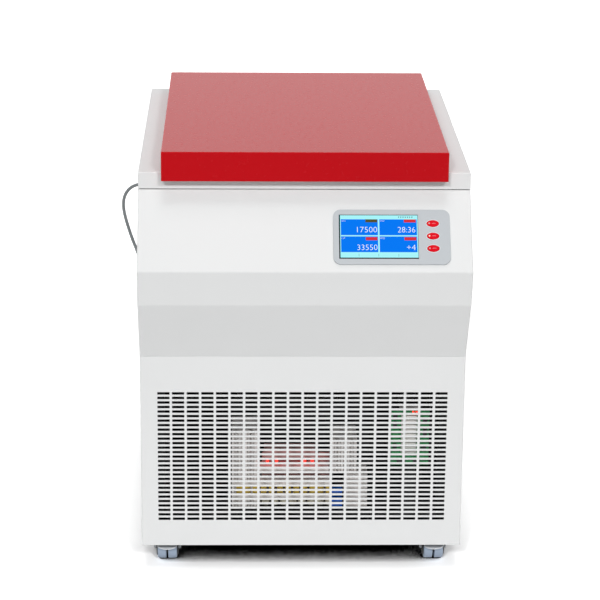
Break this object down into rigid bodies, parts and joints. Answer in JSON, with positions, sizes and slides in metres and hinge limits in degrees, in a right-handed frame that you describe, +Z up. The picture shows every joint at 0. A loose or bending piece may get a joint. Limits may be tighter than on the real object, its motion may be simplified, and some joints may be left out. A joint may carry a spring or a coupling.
{
  "type": "refrigerated centrifuge",
  "caption": "Floor-standing refrigerated centrifuge on casters, with a hinged lid over a cooled rotor chamber and a sloping control display above a slotted grille.",
  "frame": {"origin": "on the floor, under the middle of the cabinet's width and depth", "axes": "+Z up, -Y towards the control face, +X to the right as seen from the front"},
  "size_m": [0.7413, 1.054, 0.8995],
  "materials": {
    "white_enamel": "satin",
    "red_enamel": "gloss",
    "grey_plastic": "satin",
    "dark_plastic": "satin",
    "red_key": "satin",
    "screen": "gloss",
    "stainless": "brushed",
    "zinc_steel": "zinc plated",
    "copper": "drawn copper",
    "aluminium": "satin",
    "black_rubber": "matt",
    "grey_rubber": "matt",
    "foam": "matt",
    "black_paint": "satin",
    "green_board": "satin",
    "cord_grey": "matt"
  },
  "bodies": {
    "root": {"front_fascia": "white_enamel", "front_grille_panel": "white_enamel", "left_side_panel": "white_enamel", "right_side_panel": "white_enamel", "rear_panel": "white_enamel", "top_deck": "white_enamel", "base_frame": "zinc_steel", "motor_deck": "zinc_steel", "chamber_bowl": "stainless", "chamber_gasket": "black_rubber", "evaporator_jacket": "copper", "insulation_shell": "foam", "armour_ring": "zinc_steel", "hinge_bracket_left": "zinc_steel", "hinge_bracket_right": "zinc_steel", "hinge_shaft": "zinc_steel", "lock_unit": "black_paint", "drive_motor": "black_paint", "rubber_mount_1": "black_rubber", "rubber_mount_2": "black_rubber", "rubber_mount_3": "black_rubber", "display_bezel": "grey_plastic", "display_screen": "screen", "compressor": "black_paint", "condenser_core": "aluminium", "fan_shroud": "black_paint", "suction_line": "copper", "liquid_line": "copper", "filter_drier": "copper", "motor_converter": "aluminium", "control_board": "green_board", "switch_frame": "dark_plastic", "cord_gland": "dark_plastic", "mains_cord": "cord_grey", "cord_coil": "cord_grey", "coil_tie": "dark_plastic", "mains_plug": "dark_plastic"},
    "lid": {"lid_cover": "red_enamel", "lid_liner": "grey_plastic", "lid_frame": "zinc_steel"},
    "lock_hook": {"lock_hook": "zinc_steel"},
    "rotor": {"spindle": "stainless", "rotor_body": "aluminium", "rotor_lid": "aluminium"},
    "rotor_knob": {"rotor_knob": "dark_plastic"},
    "fan": {"fan_blades": "dark_plastic"},
    "key_1": {"key_1": "red_key"},
    "key_2": {"key_2": "red_key"},
    "key_3": {"key_3": "red_key"},
    "power_rocker": {"power_rocker": "dark_plastic"},
    "swivel_front_left": {"caster_yoke_front_left": "zinc_steel"},
    "swivel_front_right": {"caster_yoke_front_right": "zinc_steel"},
    "swivel_rear_left": {"caster_yoke_rear_left": "zinc_steel"},
    "swivel_rear_right": {"caster_yoke_rear_right": "zinc_steel"},
    "wheels_front_left": {"caster_wheels_front_left": "grey_rubber"},
    "wheels_front_right": {"caster_wheels_front_right": "grey_rubber"},
    "wheels_rear_left": {"caster_wheels_rear_left": "grey_rubber"},
    "wheels_rear_right": {"caster_wheels_rear_right": "grey_rubber"},
    "pedal_front_left": {"brake_pedal_front_left": "zinc_steel"},
    "pedal_front_right": {"brake_pedal_front_right": "zinc_steel"}
  },
  "joints": [
    {"name": "lid_hinge", "type": "hinge", "parent": "root", "child": "lid", "pos_m": [0, 0.378, 0.8775], "axis": [-1, 0, 0], "range_deg": [0, 75]},
    {"name": "lock_turn", "type": "hinge", "parent": "root", "child": "lock_hook", "pos_m": [0, -0.28, 0.812], "axis": [1, 0, 0], "range_deg": [0, 35]},
    {"name": "rotor_spin", "type": "hinge", "parent": "root", "child": "rotor", "pos_m": [0, 0.01, 0.7], "axis": [0, 0, 1], "continuous": true},
    {"name": "knob_turn", "type": "hinge", "parent": "rotor", "child": "rotor_knob", "pos_m": [0, 0.01, 0.785], "axis": [0, 0, 1], "continuous": true},
    {"name": "fan_spin", "type": "hinge", "parent": "root", "child": "fan", "pos_m": [-0.11, 0.307, 0.228], "axis": [0, 1, 0], "continuous": true},
    {"name": "key_1_press", "type": "slide", "parent": "root", "child": "key_1", "axis": [0, 0.7828, -0.6223], "range_m": [0, 0.0012], "stiffness_N_per_m": 400, "springref_m": -0.0005},
    {"name": "key_2_press", "type": "slide", "parent": "root", "child": "key_2", "axis": [0, 0.7828, -0.6223], "range_m": [0, 0.0012], "stiffness_N_per_m": 400, "springref_m": -0.0005},
    {"name": "key_3_press", "type": "slide", "parent": "root", "child": "key_3", "axis": [0, 0.7828, -0.6223], "range_m": [0, 0.0012], "stiffness_N_per_m": 400, "springref_m": -0.0005},
    {"name": "power_switch", "type": "hinge", "parent": "root", "child": "power_rocker", "pos_m": [0.25, 0.435, 0.18], "axis": [1, 0, 0], "range_deg": [0, 20]},
    {"name": "swivel_turn_front_left", "type": "hinge", "parent": "root", "child": "swivel_front_left", "pos_m": [-0.281, -0.263, 0.06], "axis": [0, 0, 1], "continuous": true},
    {"name": "swivel_turn_front_right", "type": "hinge", "parent": "root", "child": "swivel_front_right", "pos_m": [0.281, -0.263, 0.06], "axis": [0, 0, 1], "continuous": true},
    {"name": "swivel_turn_rear_left", "type": "hinge", "parent": "root", "child": "swivel_rear_left", "pos_m": [-0.281, 0.34, 0.06], "axis": [0, 0, 1], "continuous": true},
    {"name": "swivel_turn_rear_right", "type": "hinge", "parent": "root", "child": "swivel_rear_right", "pos_m": [0.281, 0.34, 0.06], "axis": [0, 0, 1], "continuous": true},
    {"name": "wheels_turn_front_left", "type": "hinge", "parent": "swivel_front_left", "child": "wheels_front_left", "pos_m": [-0.281, -0.283, 0.025], "axis": [1, 0, 0], "continuous": true},
    {"name": "wheels_turn_front_right", "type": "hinge", "parent": "swivel_front_right", "child": "wheels_front_right", "pos_m": [0.281, -0.283, 0.025], "axis": [1, 0, 0], "continuous": true},
    {"name": "wheels_turn_rear_left", "type": "hinge", "parent": "swivel_rear_left", "child": "wheels_rear_left", "pos_m": [-0.281, 0.36, 0.025], "axis": [1, 0, 0], "continuous": true},
    {"name": "wheels_turn_rear_right", "type": "hinge", "parent": "swivel_rear_right", "child": "wheels_rear_right", "pos_m": [0.281, 0.36, 0.025], "axis": [1, 0, 0], "continuous": true},
    {"name": "pedal_press_front_left", "type": "hinge", "parent": "swivel_front_left", "child": "pedal_front_left", "pos_m": [-0.281, -0.3004, 0.0565], "axis": [1, 0, 0], "range_deg": [0, 8]},
    {"name": "pedal_press_front_right", "type": "hinge", "parent": "swivel_front_right", "child": "pedal_front_right", "pos_m": [0.281, -0.3004, 0.0565], "axis": [1, 0, 0], "range_deg": [0, 8]}
  ]
}
